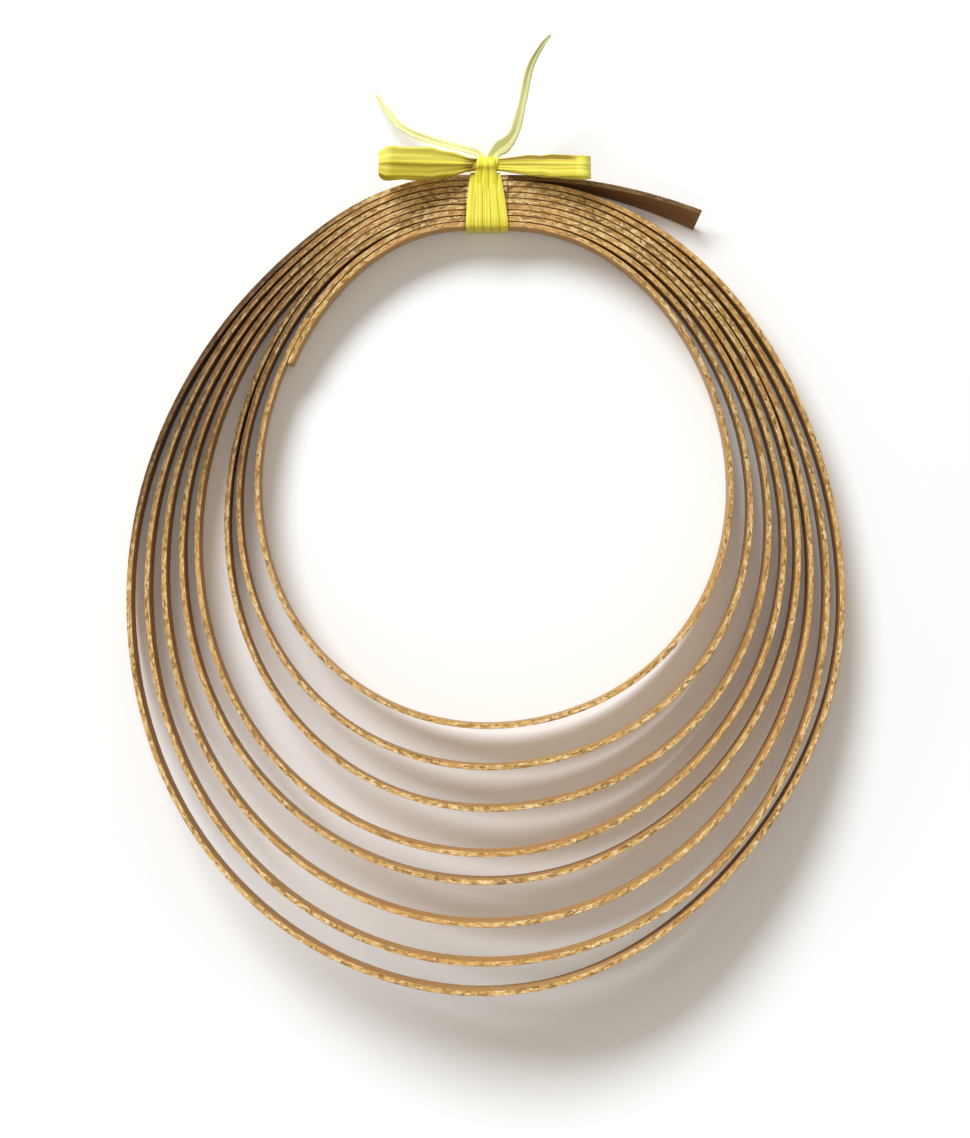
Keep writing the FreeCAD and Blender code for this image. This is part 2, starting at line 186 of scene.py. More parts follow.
class Nodes:
    """A short way to write a material's node tree."""

    def __init__(self, name):
        self.material = bpy.data.materials.new(name)
        self.material.use_nodes = True
        self.tree = self.material.node_tree
        self.shader = self.tree.nodes["Principled BSDF"]

    def add(self, kind, output=0, settings=None, **inputs):
        """Add a node, feed its inputs (by name or number) and return one of its outputs."""
        made = self.tree.nodes.new("ShaderNode" + kind)
        for name, value in (settings or {}).items():
            setattr(made, name, value)
        for name, value in inputs.items():
            socket = made.inputs[int(name[1:])] if name.startswith("_") else made.inputs[name]
            self.feed(socket, value)
        return made.outputs[output]

    def feed(self, socket, value):
        """Link a socket to another node's output, or set its value."""
        if isinstance(value, bpy.types.NodeSocket):
            self.tree.links.new(value, socket)
        else:
            socket.default_value = value

    def stretched(self, along, around, offset=0.0):
        """The UV map, which is in metres, stretched along the piece and round it."""
        return self.add("Mapping", Vector=self.add("UVMap"), Scale=(along, around, 1.0),
                        Location=(offset, offset, offset))

    def noise(self, along, around, detail, offset=0.0):
        """Noise with so many features per metre along the piece and round it."""
        return self.add("TexNoise", Vector=self.stretched(along, around, offset), Scale=1.0,
                        Detail=detail)

    def ramp(self, value, stops):
        """Colours or levels by value; stops are (place, colour) pairs."""
        made = self.tree.nodes.new("ShaderNodeValToRGB")
        elements = made.color_ramp.elements
        while len(elements) < len(stops):
            elements.new(0.5)
        for element, (place, colour) in zip(elements, stops):
            element.position = place
            element.color = colour
        self.feed(made.inputs[0], value)
        return made.outputs[0]

    def level(self, value, low, high, from_low=0.0, from_high=1.0):
        """A value between from_low and from_high carried to the range from low to high."""
        return self.add("MapRange", _0=value, _1=from_low, _2=from_high, _3=low, _4=high)

    def mix(self, share, first, second, blend="MIX"):
        """The second colour over the first one, by a share or in another way of blending."""
        made = self.tree.nodes.new("ShaderNodeMix")
        made.data_type = "RGBA"
        made.blend_type = blend
        self.feed(made.inputs[0], share)
        self.feed(made.inputs[6], first)
        self.feed(made.inputs[7], second)
        return made.outputs[2]

    def sum_of(self, first, second, operation="ADD"):
        """Two values joined by a sum, or by another operation."""
        return self.add("Math", settings={"operation": operation}, _0=first, _1=second)

    def bump(self, height, distance, strength):
        """Surface relief of a given depth in metres."""
        return self.add("Bump", Height=height, Distance=distance, Strength=strength)


def shade(red, green, blue):
    """A colour given as it looks on screen, 0 to 255, in the values that nodes use."""
    def linear(level):
        level /= 255
        return level / 12.92 if level <= 0.04045 else ((level + 0.055) / 1.055) ** 2.4
    return (linear(red), linear(green), linear(blue), 1.0)


WHITE = (1.0, 1.0, 1.0, 1.0)
BLACK = (0.0, 0.0, 0.0, 1.0)
# What reed keeps of its red, green and blue under the fullest painted shade
PAINTED_SHADE_TINT = (0.20, 0.15, 0.10, 1.0)


def reed_material():
    """Rattan: long fibres on the faces, cut and speckled fibres on the narrow edges."""
    reed = Nodes("reed")
    edge = reed.add("Attribute", output=2, settings={"attribute_name": "edge"})

    # The faces show long fibres with thin dark pores and redder patches
    fibre = reed.noise(9.0, 2600.0, detail=3.0)
    face = reed.ramp(fibre, [(0.30, shade(142, 98, 44)), (0.48, shade(184, 140, 76)),
                             (0.62, shade(206, 166, 104)), (0.78, shade(222, 190, 136))])
    pores = reed.noise(160.0, 3200.0, detail=1.0, offset=3.1)
    face = reed.mix(reed.ramp(pores, [(0.60, BLACK), (0.70, WHITE)]), face, shade(100, 64, 24))
    patches = reed.noise(14.0, 90.0, detail=2.0, offset=7.7)
    face = reed.mix(reed.level(patches, 0.0, 0.55, 0.42, 0.68), face, shade(176, 118, 60))

    # The narrow edges show the fibres' cut ends: short light and dark flecks
    cells = reed.add("TexVoronoi", output=1, Vector=reed.stretched(560.0, 1250.0, 1.3), Scale=1.0,
                     Randomness=1.0)
    tone = reed.add("SeparateColor", _0=cells)
    cut = reed.ramp(tone, [(0.0, shade(92, 56, 16)), (0.16, shade(140, 94, 36)),
                           (0.30, shade(192, 144, 72)), (0.60, shade(216, 172, 100)),
                           (0.82, shade(242, 208, 146)), (1.0, shade(254, 232, 184))])
    grain = reed.noise(60.0, 2400.0, detail=2.0, offset=5.3)
    cut = reed.mix(0.30, cut, reed.ramp(grain, [(0.35, shade(158, 114, 52)),
                                                (0.65, shade(230, 190, 122))]))
    cut = reed.mix(reed.level(patches, 0.0, 0.45, 0.45, 0.65), cut, shade(212, 154, 80))
    colour = reed.mix(edge, face, cut)

    # Painted shade: the marked stretches are darker and browner
    age = reed.add("Attribute", output=2, settings={"attribute_name": "age"})
    colour = reed.mix(age, colour, PAINTED_SHADE_TINT, "MULTIPLY")
    reed.feed(reed.shader.inputs["Base Color"], colour)

    reed.feed(reed.shader.inputs["Roughness"], reed.level(fibre, 0.50, 0.72, 0.3, 0.7))
    reed.shader.inputs["Specular IOR Level"].default_value = 0.4
    relief = reed.sum_of(fibre, reed.sum_of(tone, edge, "MULTIPLY"))
    reed.feed(reed.shader.inputs["Normal"], reed.bump(relief, 0.12 * MM, 0.8))
    return reed.material


def raffia_material(name, pale, lemon, deep, folded):
    """Dyed raffia: parallel leaf fibres of uneven colour with a soft gloss.

    pale, lemon and deep are the colours of its fibres, and folded is the painted shade
    at the bottom of its creases and in its other shaded places.
    """
    raffia = Nodes(name)
    fibre = raffia.noise(7.0, 1700.0, detail=2.0)
    colour = raffia.ramp(fibre, [(0.30, deep), (0.45, lemon), (0.58, lemon), (0.75, pale)])
    hairs = raffia.noise(30.0, 6500.0, detail=1.0, offset=2.2)
    colour = raffia.mix(raffia.level(hairs, 0.0, 0.5, 0.45, 0.7), colour, pale)
    patches = raffia.noise(45.0, 420.0, detail=2.0, offset=6.1)
    colour = raffia.mix(raffia.level(patches, 0.0, 0.55, 0.52, 0.75), colour, deep)

    # Marked places are paler, partly as painted light, and painted shade deepens the colour in
    # creases and shaded places
    faded = raffia.add("Attribute", output=2, settings={"attribute_name": "faded"})
    colour = raffia.mix(faded, colour, raffia.mix(hairs, lemon, pale))
    crease = raffia.add("Attribute", output=2, settings={"attribute_name": "crease"})
    colour = raffia.mix(crease, colour, folded)

    raffia.feed(raffia.shader.inputs["Base Color"], colour)
    raffia.feed(raffia.shader.inputs["Roughness"], raffia.level(fibre, 0.42, 0.62, 0.3, 0.7))
    raffia.shader.inputs["Specular IOR Level"].default_value = 0.35
    relief = raffia.sum_of(fibre, raffia.level(hairs, 0.0, 0.5))
    raffia.feed(raffia.shader.inputs["Normal"], raffia.bump(relief, 0.15 * MM, 0.7))
    return raffia.material


REED = reed_material()
# The last colour of each is the painted shade in creases and shaded places
RAFFIA = raffia_material("raffia", shade(255, 251, 142), shade(250, 236, 56),
                         shade(214, 184, 34), shade(146, 116, 22))
PALE_RAFFIA = raffia_material("raffia_tail", shade(248, 248, 208), shade(238, 238, 160),
                              shade(204, 198, 104), shade(176, 168, 84))

# ---------------------------------------------------------------------------
# The reed
# ---------------------------------------------------------------------------

STATION_SPACING = 1.4 * MM
FEWEST_STATIONS = 8
EDGE_ROUNDING = 0.22 * MM
FACE_STEPS = 11
EDGE_STEPS = 4
# The point halfway round an edge's rounding: its distance from the sharp corner, as a share
# of the rounding, the parts of its slanting direction and how much of it is edge
CORNER_CUT = 0.3
SLANT = 0.7
CORNER_MASK = 0.6
# The step from the last point round the strip to the first, as a share of the strip's width
CLOSING_STEP = 0.01

# The strip's relief: how deep it is, and how many stations and points its features take
RIB_DEPTH, RIB_STATIONS, RIB_POINTS = 0.07 * MM, 30, 1.2
NICK_DEPTH, NICK_STATIONS, NICK_POINTS = 0.13 * MM, 2.2, 1.5
SWAY_DEPTH, SWAY_STATIONS = 0.10 * MM, 26

# Two edges belong to one smooth border, and a face to one side, when the cosine of the angle
# between their directions is at least this
ALIGNED = 0.7
# Points that are the same to this are one point
SAME_PLACE = 0.0001 * MM


def joined_points(mesh):
    """A mesh's points without their doubles, and which of them each vertex is."""
    places = {}
    merged = []
    for vertex in mesh.vertices:
        key = tuple(round(value / SAME_PLACE) for value in vertex.co)
        merged.append(places.setdefault(key, len(places)))
    points = np.zeros((len(places), 3))
    for vertex, index in zip(mesh.vertices, merged):
        points[index] = vertex.co
    return points, merged


def side_outline(node, up):
    """The closed outline of a strip's upper (up = 1) or lower (up = -1) narrow side.

    It is read from the CAD node's own mesh.
    """
    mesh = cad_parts[node].data
    points, merged = joined_points(mesh)
    uses = {}
    for polygon in mesh.polygons:
        if polygon.normal.z * up < ALIGNED:
            continue
        corners = [merged[index] for index in polygon.vertices]
        for first, second in zip(corners, corners[1:] + corners[:1]):
            if first != second:
                border = (min(first, second), max(first, second))
                uses[border] = uses.get(border, 0) + 1
    beside = {}
    for (first, second), count in uses.items():
        if count == 1:
            beside.setdefault(first, []).append(second)
            beside.setdefault(second, []).append(first)
    loop = [min(beside)]
    while True:
        onward = [index for index in beside[loop[-1]] if index not in loop[-2:]]
        if not onward or onward[0] == loop[0]:
            break
        loop.append(onward[0])
    return points[loop]


def long_borders(node, up):
    """The inner and the outer long border of a strip's upper or lower narrow side."""
    loop = side_outline(node, up)
    leaving = unit(np.roll(loop, -1, axis=0) - loop)
    arriving = np.roll(leaving, 1, axis=0)
    corners = np.nonzero((leaving * arriving).sum(axis=1) < ALIGNED)[0]
    borders = []
    for start, end in zip(corners, np.roll(corners, -1)):
        order = np.arange(start, end + 1 if end > start else end + 1 + len(loop)) % len(loop)
        borders.append(loop[order])
    borders = sorted(borders, key=lambda line: lengths_along(line)[-1])[-2:]
    # The inner one is shorter, or on a straight stretch the one with the smaller Y
    inner, outer = sorted(borders, key=lambda line: (round(lengths_along(line)[-1] / MM, 2),
                                                     line[0, 1]))
    # Both run from their end with the larger X
    inner, outer = [line if line[0, 0] > line[-1, 0] else line[::-1] for line in (inner, outer)]
    return inner, outer


def reed_section(thickness, width):
    """Points round a strip's cross-section, as shares of its thickness and width.

    Returns the shares, the way that each point faces, and a mask that is 1 on the narrow
    edges and 0 on the wide faces.
    """
    points, facings, masks = [], [], []
    around_x, around_y = EDGE_ROUNDING / thickness, EDGE_ROUNDING / width
    corner_x, corner_y = CORNER_CUT * around_x, CORNER_CUT * around_y

    def add(across, up, facing, mask):
        points.append((across, up))
        facings.append(facing)
        masks.append(mask)

    for up in np.linspace(around_y, 1 - around_y, FACE_STEPS):
        add(0.0, up, (-1, 0), 0.0)
    add(corner_x, 1 - corner_y, (-SLANT, SLANT), CORNER_MASK)
    for across in np.linspace(around_x, 1 - around_x, EDGE_STEPS):
        add(across, 1.0, (0, 1), 1.0)
    add(1 - corner_x, 1 - corner_y, (SLANT, SLANT), CORNER_MASK)
    for up in np.linspace(1 - around_y, around_y, FACE_STEPS):
        add(1.0, up, (1, 0), 0.0)
    add(1 - corner_x, corner_y, (SLANT, -SLANT), CORNER_MASK)
    for across in np.linspace(1 - around_x, around_x, EDGE_STEPS):
        add(across, 0.0, (0, -1), 1.0)
    add(corner_x, corner_y, (-SLANT, -SLANT), CORNER_MASK)
    return np.array(points), np.array(facings, float), np.array(masks)


def reed_piece(body, node, seed, start_along, onward=True, age=0.0):
    """One stretch of reed over its CAD node, with ribbed faces and nicked edges.

    start_along is how much of the reed comes before this stretch, onward is whether the
    reed runs the way that the node's borders are read, and the last argument is how much
    painted shade darkens and browns it, from 0 to 1, over the whole stretch or place by
    place.  Returns how much of the reed there is with this stretch.
    """
    rng = np.random.default_rng(seed)
    borders = long_borders(node, -1) + long_borders(node, 1)
    total = lengths_along(borders[-1])[-1]
    count = max(int(total / STATION_SPACING), FEWEST_STATIONS)
    low_inner, low_outer, high_inner, high_outer = [resampled(line, count)[:, None, :]
                                                    for line in borders]
    thickness = np.linalg.norm(high_outer[0] - high_inner[0])
    width = np.linalg.norm(high_inner[0] - low_inner[0])
    shares, facings, mask = reed_section(thickness, width)
    across, up = shares[:, 0][None, :, None], shares[:, 1][None, :, None]
    rings = ((low_inner * (1 - across) + low_outer * across) * (1 - up)
             + (high_inner * (1 - across) + high_outer * across) * up)

    # Relief goes inwards only, so that neighbouring turns stay clear of each other
    points = len(shares)
    ribs = np.abs(smooth_noise(rng, count, points, RIB_STATIONS, RIB_POINTS)) * RIB_DEPTH
    nicks = np.abs(smooth_noise(rng, count, points, NICK_STATIONS, NICK_POINTS)) * NICK_DEPTH
    sway = np.abs(smooth_noise(rng, count, 2, SWAY_STATIONS, 1)[:, :1]) * SWAY_DEPTH
    depth = ribs * (1 - mask) + (nicks + sway) * mask
    outward = unit(high_outer - high_inner)
    upward = unit(high_inner - low_inner)
    facing = outward * facings[None, :, :1] + upward * facings[None, :, 1:]
    rings = rings - facing * depth[:, :, None]

    along = start_along + np.linspace(0, total, count)
    if not onward:
        along = along[::-1]
    around = lengths_along(np.column_stack([shares * (thickness, width), np.zeros(points)]))
    around = np.append(around, around[-1] + CLOSING_STEP * width)
    if callable(age):
        age = age(rings[:, 0], across[:, :, 0])
    piece = grid_mesh("reed_" + node, rings, along, around, {"edge": mask[None, :], "age": age})
    dress(piece, REED, body, "reed", node)
    return start_along + total


# How much painted shade each turn has at the coil's upper left and upper right, where its
# packed strips lie in shade: the outermost turn most of all, and the innermost one the least
PAINTED_SHADE_BY_TURN = {1: (2.4, 0.0), TURNS: (0.25, 0.15)}
USUAL_PAINTED_SHADE = (1.15, 0.4)
# The directions of the two weathered stretches' middles from the coil's centre, in degrees,
# and how far from there they start to fade and end
UPPER_LEFT, LEFT_FADE = 149, (18, 41)
UPPER_RIGHT, RIGHT_FADE = 30, (10, 40)
# How much of it shows on the inner half of the narrow edges, how much more on the outer
# half, and how much of that the broad outer face is spared
INNER_SHARE, OUTER_SHARE, FACE_SPARED = 0.35, 0.5, 0.85


def turn_painted_shade(upper_left, upper_right):
    """Painted shade on a turn, place by place: most on the outer half of its narrow edges.

    upper_left and upper_right give how much there is on those sides of the coil.
    """
    def age(places, across):
        direction = np.degrees(np.arctan2(places[:, 1], places[:, 0]))[:, None] % 360
        left = upper_left * falling(np.abs(direction - UPPER_LEFT), *LEFT_FADE)
        right = upper_right * falling(np.abs(direction - UPPER_RIGHT), *RIGHT_FADE)
        on_outer_half = rising(across, 0.3, 0.7)
        on_outer_face = rising(across, 0.93, 1)
        share = (INNER_SHARE + OUTER_SHARE * on_outer_half) * (1 - FACE_SPARED * on_outer_face)
        return np.clip((left + right) * share, 0, 1)

    return age


def outer_end_age(places, across):
    """Painted shade on the reed's outer end: brown all over, most of all on its narrow edges."""
    on_edge = 1 - np.abs(2 * across - 1)**6
    return np.tile(0.6 + 0.35 * on_edge, (len(places), 1))


# One reed, from its inner end round and round to its outer end
along_reed = reed_piece("inner_end", "inner_end", 41, 0.0, onward=False)
for number in range(TURNS, 0, -1):
    along_reed = reed_piece("tied_bundle", "bound_layer_%d" % (number + 1), 21 + number,
                            along_reed, onward=False)
    # Painted shade between the packed strips at the coil's upper left and upper right
    age = turn_painted_shade(*PAINTED_SHADE_BY_TURN.get(number, USUAL_PAINTED_SHADE))
    along_reed = reed_piece("turn_%d" % number, "turn_%d" % number, number, along_reed, age=age)
along_reed = reed_piece("tied_bundle", "bound_layer_1", 21, along_reed, onward=False)
reed_piece("free_end", "free_end", 42, along_reed, onward=False, age=outer_end_age)

# ---------------------------------------------------------------------------
# Ribbons of raffia
# ---------------------------------------------------------------------------

RAFFIA_THICKNESS = 0.8 * MM
KNOT_STRAND_THICKNESS = 0.6 * MM
TAIL_THICKNESS = 0.5 * MM
# How thick a ribbon is near its rims, as a share of its thickness
RIM = 0.55
# A ribbon's width is uneven by this share, and varies over so many stations
FRAY, FRAY_STATIONS = 0.05, 7
# The grooves between its fibres: how deep they are, how many stations they run, and how much
# of the ribbon's thickness the deepest ones take
GROOVE_DEPTH, GROOVE_STATIONS, DEEPEST_GROOVE = 0.22 * MM, 40, 0.4
# Over how many stations a closed ribbon's grooves run into those of its start
SEAM_STATIONS = 12
# Ribbons with neighbouring seeds show fibres that lie so far apart in the leaf
LEAF_STEP = 0.031


def ribbon_section(points_across):
    """Points round a flat ribbon: place across from -1 to 1, and side (1 outer, -1 inner)."""
    across = np.linspace(-1, 1, points_across)
    places = np.concatenate([across, [1.0], across[::-1], [-1.0]])
    sides = np.concatenate([np.ones(points_across), [0.0], -np.ones(points_across), [0.0]])
    rim = np.concatenate([[RIM], np.ones(points_across - 2), [RIM, 1.0]])
    return places, sides * np.concatenate([rim, rim])


def grooves(rng, count, points_across, depth, closed):
    """How deep the grooves between a ribbon's fibres are; its two sides have the same ones."""
    outer = np.abs(smooth_noise(rng, count, points_across + 2, GROOVE_STATIONS, 1.0)) * depth
    deep = np.concatenate([outer[:, :points_across], outer[:, :1],
                           outer[:, points_across - 1::-1], outer[:, :1]], axis=1)
    if closed:
        own = rising(count - 1 - np.arange(count), 0, SEAM_STATIONS)[:, None]
        deep = deep * own + deep[:1] * (1 - own)
    return deep


def ribbon(name, centre, outward, sideways, half_width, seed, lift, points_across,
           thickness=RAFFIA_THICKNESS, closed=False, groove_depth=GROOVE_DEPTH, crease=0.0,
           faded=0.0):
    """A fibrous ribbon along a line.

    centre is the line through the middle of the ribbon's thickness, outward and sideways
    give its facing at each station, half_width its half width, and lift(along, across) how
    far each place stands out of the flat.  The two colour masks give how much painted shade
    deepens its colour and how much paler it is, partly as painted light, from 0 to 1, over
    the whole ribbon or place by place.
    """
    rng = np.random.default_rng(seed)
    count = len(centre)
    places, sides = ribbon_section(points_across)
    along = lengths_along(centre)
    half_width = np.broadcast_to(half_width, count)
    frays = 1 + FRAY * smooth_noise(rng, count, len(places), FRAY_STATIONS, len(places))
    if closed:
        frays = np.ones_like(frays)
    deep = grooves(rng, count, points_across, groove_depth, closed)
    out = (lift(along[:, None] / along[-1], places[None, :])
           + sides[None, :] * (thickness / 2 - np.minimum(deep, thickness * DEEPEST_GROOVE)))
    rings = (centre[:, None, :] + outward[:, None, :] * out[:, :, None]
             + sideways[:, None, :] * (places[None, :] * half_width[:, None] * frays)[:, :, None])
    section = np.column_stack([places * half_width.mean(), sides * thickness / 2,
                               np.zeros(len(places))])
    around = lengths_along(section)
    around = np.append(around, around[-1] + thickness / 2) + seed * LEAF_STEP
    if closed:
        rings = rings[:-1]
        along = along[:-1]
    masks = {"crease": crease, "faded": faded}
    for mask, values in masks.items():
        if callable(values):
            masks[mask] = values(along[:, None] / along[-1], places[None, :])
    return grid_mesh(name, rings, along, around, masks, closed_along=closed)


def crowned(height, base=0.0):
    """A lift for a ribbon that stands height above base along its middle."""
    def lift(along, across):
        return base + height * (1 - across**2)

    return lift


def rounded_loop(low, high, radius, count):
    """A closed, rounded rectangle in the Y-Z plane, and which way it faces at each point."""
    corners = [(high[0] - radius, high[1] - radius, 0), (low[0] + radius, high[1] - radius, 90),
               (low[0] + radius, low[1] + radius, 180), (high[0] - radius, low[1] + radius, 270)]
    points = []
    for y, z, turn in corners:
        for angle in np.radians(np.linspace(turn, turn + 90, 9)):
            points.append((0.0, y + radius * math.cos(angle), z + radius * math.sin(angle)))
    points.append(points[0])
    line = resampled(np.array(points), count)
    ahead = unit(np.roll(line[:-1], -1, axis=0) - np.roll(line[:-1], 1, axis=0))
    ahead = np.vstack([ahead, ahead[:1]])
    outward = np.stack([np.zeros(count), ahead[:, 2], -ahead[:, 1]], axis=1)
    return line, outward


def along_x(count):
    """The sideways direction of a ribbon that lies straight across the tie."""
    return np.tile([1.0, 0.0, 0.0], (count, 1))


def level_facing(line):
    """Which way a ribbon that is level from side to side faces, and its sideways direction."""
    ahead = unit(np.gradient(line, axis=0))
    sideways = unit(np.cross(ahead, (0.0, 0.0, 1.0)))
    return np.cross(sideways, ahead), sideways


# ---------------------------------------------------------------------------
# The wrap
# ---------------------------------------------------------------------------

WRAP_ROUNDING = 1.1 * MM
# The strands draw together towards the knot: this share of their width and spacing is left
# there, and they shift so far along X
GATHERED = 0.70
GATHERED_SHIFT = -0.6 * MM
# The larger this is, the nearer to the knot they draw together
GATHERING_LATENESS = 1.4
# Each strand is a little wider than its place, and rises and dips so far over its neighbours
STRAND_LAP = 1.05
STRAND_CROSSING = 0.14 * MM
STRAND_CROWN = 0.12 * MM


def wrap_strand(number):
    """One strand round the bundle, narrower and nearer its neighbours at the knot."""
    node = "wrap_strand_%d" % number
    low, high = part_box(node)
    half = RAFFIA_THICKNESS / 2
    line, outward = rounded_loop((low.y + half, low.z + half), (high.y - half, high.z - half),
                                 WRAP_ROUNDING, count=110)
    share = rising(line[:, 1], low.y, high.y) ** GATHERING_LATENESS
    gathered = 1 + (GATHERED - 1) * share
    line[:, 0] = (low.x + high.x) / 2 * gathered + GATHERED_SHIFT * share
    half_width = (high.x - low.x) / 2 * gathered * STRAND_LAP
    crossing = STRAND_CROSSING * (-1) ** number

    def lift(along, across):
        return crossing * np.sin(2 * math.pi * along) + STRAND_CROWN * (1 - across**2)

    # Painted shade, golden, where it bends over the ring's inner side, and painted light, paler,
    # above
    foot = falling(line[:-1, 1:2], low.y + 1.5 * MM, low.y + 5.5 * MM)
    piece = ribbon("raffia_" + node, line, outward, along_x(len(line)), half_width, 60 + number,
                   lift=lift, closed=True, points_across=13, crease=0.30 * foot,
                   faded=0.28 * (1 - foot))
    dress(piece, RAFFIA, "tied_bundle", "raffia", node)


# ---------------------------------------------------------------------------
# The knot
# ---------------------------------------------------------------------------

WINDINGS = 3
WINDING_INSET = 0.5 * MM
WINDING_ROUNDING = 2.4 * MM
# How close the windings lie and how wide they are, as shares of an even spacing
WINDING_CLOSENESS = 0.98
WINDING_LAP = 1.20
# How much smaller the outer windings are than the middle one, and how far they lean
OUTER_WINDING_LOSS = 0.0889
WINDING_LEAN = 1.2 * MM
# The core's reach to each side, as a share of the knot's length, and its radius at its ends
# and how much it swells between them, as shares of the knot's own
CORE_REACH = 0.44
CORE_END, CORE_SWELL = 0.62, 0.22
# The distance between the three strands that run over the knot, and how far they all lie to
# the left of its middle
KNOT_STRAND_SPACING = 2.9 * MM
KNOT_STRAND_SHIFT = 0.4 * MM


def knot_windings(low, high):
    """Strands wound round the knot, side by side and slightly askew."""
    middle = (low + high) / 2
    span = high - low
    spacing = span.x / WINDINGS
    for number in range(WINDINGS):
        offset = number - (WINDINGS - 1) / 2
        line, outward = rounded_loop((low.y + WINDING_INSET, low.z + WINDING_INSET),
                                     (high.y - WINDING_INSET, high.z - WINDING_INSET),
                                     WINDING_ROUNDING, count=72)
        size = 1 - OUTER_WINDING_LOSS * offset**2
        line[:, 1:] = (middle.y, middle.z) + (line[:, 1:] - (middle.y, middle.z)) * size
        lean = WINDING_LEAN * abs(offset) * (line[:, 1] - middle.y) / span.y
        line[:, 0] = middle.x + offset * spacing * WINDING_CLOSENESS + lean
        piece = ribbon("raffia_knot_winding_%d" % (number + 1), line, outward,
                       along_x(len(line)), spacing * WINDING_LAP / 2, 70 + number,
                       lift=crowned(0.30 * MM, -0.15 * MM), closed=True, points_across=9)
        dress(piece, RAFFIA, "tied_bundle", "raffia", "knot")


def knot_core(low, high):
    """A lump, fullest in its middle, that closes the windings' open inside."""
    middle = (low + high) / 2
    span = high - low
    stations, points = 9, 24
    shares = np.linspace(-1, 1, stations)
    around = np.linspace(0, 2 * math.pi, points + 1)
    radius = CORE_END + CORE_SWELL * (1 - shares[:, None]**4)
    rings = np.zeros((stations, points, 3))
    rings[:, :, 0] = middle.x + shares[:, None] * span.x * CORE_REACH
    rings[:, :, 1] = middle.y + radius * span.y / 2 * np.cos(around[:-1])
    rings[:, :, 2] = middle.z - radius * span.z / 2 * np.sin(around[:-1])
    along = (shares + 1) * span.x * CORE_REACH
    core = grid_mesh("raffia_knot_core", rings, along, around * span.z / 2, {})
    dress(core, RAFFIA, "tied_bundle", "raffia", "knot")


def knot_strands(low, high, wrap_high):
    """Three strands of the wrap that run on over the knot and down its outer side."""
    middle = (low + high) / 2
    for number in (-1, 0, 1):
        spread = number * KNOT_STRAND_SPACING
        route = [(spread * 1.14, wrap_high.y - 12.0 * MM, wrap_high.z - 1.0 * MM),
                 (spread * 1.10, wrap_high.y - 4.5 * MM, wrap_high.z - 0.2 * MM),
                 (spread, wrap_high.y + 0.4 * MM, wrap_high.z + 0.9 * MM),
                 (spread * 0.9, middle.y - 0.6 * MM, high.z + 0.2 * MM),
                 (spread * 0.8, high.y - 1.4 * MM, high.z - 0.7 * MM),
                 (spread * 0.75, high.y - 0.3 * MM, middle.z + 1.0 * MM)]
        line = smooth_path(route, count=60) + (middle.x - KNOT_STRAND_SHIFT, 0, 0)
        sideways = along_x(len(line))
        outward = np.cross(sideways, unit(np.gradient(line, axis=0)))
        half_width = np.interp(np.linspace(0, 1, len(line)), (0, 0.5, 1), (1.75, 1.6, 1.2)) * MM
        piece = ribbon("raffia_knot_strand_%d" % (number + 2), line, outward, sideways,
                       half_width, 75 + number, lift=crowned(0.25 * MM), points_across=11,
                       thickness=KNOT_STRAND_THICKNESS)
        dress(piece, RAFFIA, "tied_bundle", "raffia", "knot")


def knot_side_strand(low, high, wrap_high):
    """A strand that comes out of the left loop's neck and dives under the others, deep olive as
    painted shade.
    """
    middle = (low + high) / 2
    route = [(low.x - 3.6 * MM, middle.y - 1.8 * MM, wrap_high.z - 0.5 * MM),
             (low.x - 1.2 * MM, middle.y - 1.4 * MM, high.z - 0.9 * MM),
             (low.x + 2.0 * MM, middle.y - 0.2 * MM, high.z - 0.2 * MM),
             (middle.x, middle.y + 1.0 * MM, high.z - 1.2 * MM)]
    line = smooth_path(route, count=40)
    outward, sideways = level_facing(line)
    # Its colour is nearly all painted shade
    piece = ribbon("raffia_knot_side_strand", line, outward, sideways, 1.5 * MM, 79,
                   lift=crowned(0.25 * MM), points_across=9, thickness=KNOT_STRAND_THICKNESS,
                   crease=0.85)
    dress(piece, RAFFIA, "tied_bundle", "raffia", "knot")


def knot():
    """The knot: a core with strands round it, over it and beside it."""
    low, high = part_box("knot")
    wrap_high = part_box("wrap_strand_3")[1]
    knot_windings(low, high)
    knot_core(low, high)
    knot_strands(low, high, wrap_high)
    knot_side_strand(low, high, wrap_high)


# ---------------------------------------------------------------------------
# The bow's loops
# ---------------------------------------------------------------------------

LOOP_NECK_RADIUS = 1.4 * MM
LOOP_NECK_WIDTH = 5.0 * MM
# How far each loop's two ends run back towards the knot's middle from the neck's centre, and
# how far the neck sits on the ring's side of the knot's middle
NECK_TUCK = 3.6 * MM
NECK_SAG = 0.3 * MM
# The neck's clearance from the knot, its height above the knot's middle, and the loop's slope
NECK_CLEARANCE = 0.4 * MM
NECK_HEIGHT = 3.4 * MM
LOOP_RISE = math.radians(14)
# The larger this is, the farther from the knot the loops spread
SPREAD_LATENESS = 0.036
PLEAT_DEPTH = 0.8 * MM


def loop_belt(length, far_radius):
    """A loop's line in its own plane, X outwards and Z up: out of the knot, round and back."""
    span = length - LOOP_NECK_RADIUS - far_radius
    touch = math.acos((LOOP_NECK_RADIUS - far_radius) / span)
    neck = [(-NECK_TUCK, 0.55 * LOOP_NECK_RADIUS),
            (LOOP_NECK_RADIUS * math.cos(touch), LOOP_NECK_RADIUS * math.sin(touch))]
    out = [(x, 0, -z) for x, z in neck]
    bend = [(span + far_radius * math.cos(angle), 0, far_radius * math.sin(angle))
            for angle in np.linspace(-touch, touch, 28)]
    back = [(x, 0, z) for x, z in reversed(neck)]
    return resampled(np.array(out + bend + back), count=120)


